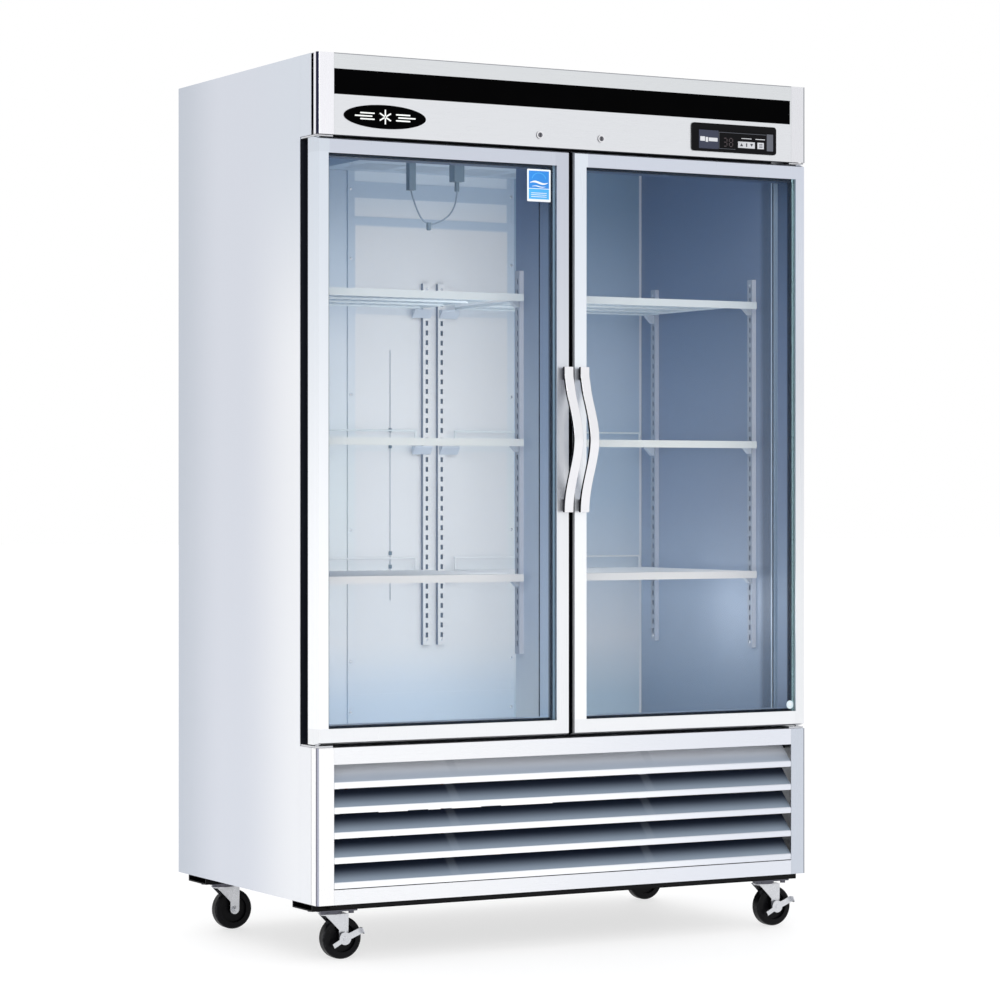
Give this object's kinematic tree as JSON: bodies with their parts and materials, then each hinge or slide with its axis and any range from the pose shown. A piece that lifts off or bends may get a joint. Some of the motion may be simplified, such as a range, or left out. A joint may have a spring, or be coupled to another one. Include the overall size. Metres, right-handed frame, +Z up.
{
  "type": "glass door merchandiser",
  "caption": "Upright two-section refrigerated merchandiser with hinged glass doors, wire shelves, a louvred lower grille and swivel casters.",
  "frame": {"origin": "on the floor, below the centre of the whole object's box", "axes": "+Z up, -Y out of the doors, +X to the right of a person facing them"},
  "size_m": [1.37, 0.861, 2.119],
  "materials": {
    "stainless": "satin",
    "trim": "satin",
    "door_metal": "satin",
    "handle_metal": "polished",
    "foam": "matte",
    "liner": "satin",
    "black_gloss": "gloss",
    "black_plastic": "satin",
    "key": "satin",
    "chrome": "polished",
    "zinc": "satin",
    "white_plastic": "satin",
    "fin_stock": "satin",
    "black_metal": "satin",
    "lamp": "satin",
    "cable": "satin",
    "copper": "satin",
    "glass": "gloss",
    "gasket": "matte",
    "shelf_coating": "satin",
    "tyre": "satin"
  },
  "bodies": {
    "cabinet": {"side_panels": "stainless", "top_and_rear_panels": "stainless", "corner_trims": "trim", "insulation": "foam", "liner": "liner", "face_frame": "trim", "mullion": "liner", "fascia_panel": "stainless", "fascia_trim": "black_gloss", "controller": "black_plastic", "lock_cylinders": "chrome", "hinge_brackets": "zinc", "shelf_pilasters": "liner", "shelf_clips": "white_plastic", "evaporator_cover": "liner", "evaporator_coil": "fin_stock", "fan_motors": "black_metal", "light_tubes": "lamp", "sensor_clips": "white_plastic", "sensor_lead": "cable", "grille_frame": "stainless", "grille_louvres": "stainless", "base_frame": "black_metal", "compressor": "black_metal", "condenser_coil": "fin_stock", "refrigerant_tubing": "copper", "cord_gland": "black_plastic", "caster_plates": "zinc"},
    "left_door": {"left_door_frame": "door_metal", "left_door_backing": "black_plastic", "left_glass": "glass", "left_gasket": "gasket", "left_handle": "handle_metal"},
    "right_door": {"right_door_frame": "door_metal", "right_door_backing": "black_plastic", "right_glass": "glass", "right_gasket": "gasket", "right_handle": "handle_metal"},
    "left_lock": {"left_lock_plug": "chrome"},
    "right_lock": {"right_lock_plug": "chrome"},
    "level_key": {"level_key": "key"},
    "set_key": {"set_key": "key"},
    "evaporator_fan": {"evaporator_fan": "black_plastic"},
    "condenser_fan": {"condenser_fan": "black_plastic"},
    "front_left_caster": {"front_left_fork": "zinc"},
    "front_left_wheel": {"front_left_wheel": "tyre"},
    "front_right_caster": {"front_right_fork": "zinc"},
    "front_right_wheel": {"front_right_wheel": "tyre"},
    "rear_left_caster": {"rear_left_fork": "zinc"},
    "rear_left_wheel": {"rear_left_wheel": "tyre"},
    "rear_right_caster": {"rear_right_fork": "zinc"},
    "rear_right_wheel": {"rear_right_wheel": "tyre"},
    "left_brake": {"left_brake_lever": "zinc"},
    "right_brake": {"right_brake_lever": "zinc"},
    "left_upper_shelf": {"left_upper_shelf": "shelf_coating"},
    "left_middle_shelf": {"left_middle_shelf": "shelf_coating"},
    "left_lower_shelf": {"left_lower_shelf": "shelf_coating"},
    "right_upper_shelf": {"right_upper_shelf": "shelf_coating"},
    "right_middle_shelf": {"right_middle_shelf": "shelf_coating"},
    "right_lower_shelf": {"right_lower_shelf": "shelf_coating"}
  },
  "joints": [
    {"name": "left_door_hinge", "type": "hinge", "parent": "cabinet", "child": "left_door", "pos_m": [-0.673, -0.3431, 1.2], "axis": [0, 0, -1], "range_deg": [0, 110], "stiffness_Nm_per_rad": 1.5, "springref_deg": -51.57},
    {"name": "right_door_hinge", "type": "hinge", "parent": "cabinet", "child": "right_door", "pos_m": [0.673, -0.3431, 1.2], "axis": [0, 0, 1], "range_deg": [0, 110], "stiffness_Nm_per_rad": 1.5, "springref_deg": -51.57},
    {"name": "left_lock_turn", "type": "hinge", "parent": "cabinet", "child": "left_lock", "pos_m": [-0.089, -0.3565, 1.957], "axis": [0, 1, 0], "range_deg": [0, 90]},
    {"name": "right_lock_turn", "type": "hinge", "parent": "cabinet", "child": "right_lock", "pos_m": [0.083, -0.3565, 1.957], "axis": [0, -1, 0], "range_deg": [0, 90]},
    {"name": "level_key_rock", "type": "hinge", "parent": "cabinet", "child": "level_key", "pos_m": [0.505, -0.3655, 1.964], "axis": [0, 0, 1], "range_deg": [-2.5, 2.5], "stiffness_Nm_per_rad": 0.5},
    {"name": "set_key_press", "type": "slide", "parent": "cabinet", "child": "set_key", "axis": [0, 1, 0], "range_m": [0, 0.0015], "stiffness_N_per_m": 400, "springref_m": -0.001},
    {"name": "evaporator_fan_spin", "type": "hinge", "parent": "cabinet", "child": "evaporator_fan", "pos_m": [0.06, -0.0265, 1.946], "axis": [0, 0, 1], "continuous": true},
    {"name": "condenser_fan_spin", "type": "hinge", "parent": "cabinet", "child": "condenser_fan", "pos_m": [0.3, -0.1515, 0.29], "axis": [0, 1, 0], "continuous": true},
    {"name": "front_left_swivel", "type": "hinge", "parent": "cabinet", "child": "front_left_caster", "pos_m": [-0.61, -0.2865, 0.106], "axis": [0, 0, 1], "continuous": true},
    {"name": "front_left_roll", "type": "hinge", "parent": "front_left_caster", "child": "front_left_wheel", "pos_m": [-0.586, -0.2865, 0.05], "axis": [0, 1, 0], "continuous": true},
    {"name": "front_right_swivel", "type": "hinge", "parent": "cabinet", "child": "front_right_caster", "pos_m": [0.61, -0.2865, 0.106], "axis": [0, 0, 1], "continuous": true},
    {"name": "front_right_roll", "type": "hinge", "parent": "front_right_caster", "child": "front_right_wheel", "pos_m": [0.634, -0.2865, 0.05], "axis": [0, 1, 0], "continuous": true},
    {"name": "rear_left_swivel", "type": "hinge", "parent": "cabinet", "child": "rear_left_caster", "pos_m": [-0.61, 0.3255, 0.106], "axis": [0, 0, 1], "continuous": true},
    {"name": "rear_left_roll", "type": "hinge", "parent": "rear_left_caster", "child": "rear_left_wheel", "pos_m": [-0.586, 0.3255, 0.05], "axis": [0, 1, 0], "continuous": true},
    {"name": "rear_right_swivel", "type": "hinge", "parent": "cabinet", "child": "rear_right_caster", "pos_m": [0.61, 0.3255, 0.106], "axis": [0, 0, 1], "continuous": true},
    {"name": "rear_right_roll", "type": "hinge", "parent": "rear_right_caster", "child": "rear_right_wheel", "pos_m": [0.634, 0.3255, 0.05], "axis": [0, 1, 0], "continuous": true},
    {"name": "left_brake_press", "type": "hinge", "parent": "front_left_caster", "child": "left_brake", "pos_m": [-0.586, -0.3115, 0.05], "axis": [0, 1, 0], "range_deg": [0, 12]},
    {"name": "right_brake_press", "type": "hinge", "parent": "front_right_caster", "child": "right_brake", "pos_m": [0.634, -0.3115, 0.05], "axis": [0, 1, 0], "range_deg": [0, 12]},
    {"name": "left_upper_shelf_lift", "type": "slide", "parent": "cabinet", "child": "left_upper_shelf", "axis": [0, 0, 1], "range_m": [0, 0.03]},
    {"name": "left_middle_shelf_lift", "type": "slide", "parent": "cabinet", "child": "left_middle_shelf", "axis": [0, 0, 1], "range_m": [0, 0.03]},
    {"name": "left_lower_shelf_lift", "type": "slide", "parent": "cabinet", "child": "left_lower_shelf", "axis": [0, 0, 1], "range_m": [0, 0.03]},
    {"name": "right_upper_shelf_lift", "type": "slide", "parent": "cabinet", "child": "right_upper_shelf", "axis": [0, 0, 1], "range_m": [0, 0.03]},
    {"name": "right_middle_shelf_lift", "type": "slide", "parent": "cabinet", "child": "right_middle_shelf", "axis": [0, 0, 1], "range_m": [0, 0.03]},
    {"name": "right_lower_shelf_lift", "type": "slide", "parent": "cabinet", "child": "right_lower_shelf", "axis": [0, 0, 1], "range_m": [0, 0.03]}
  ]
}
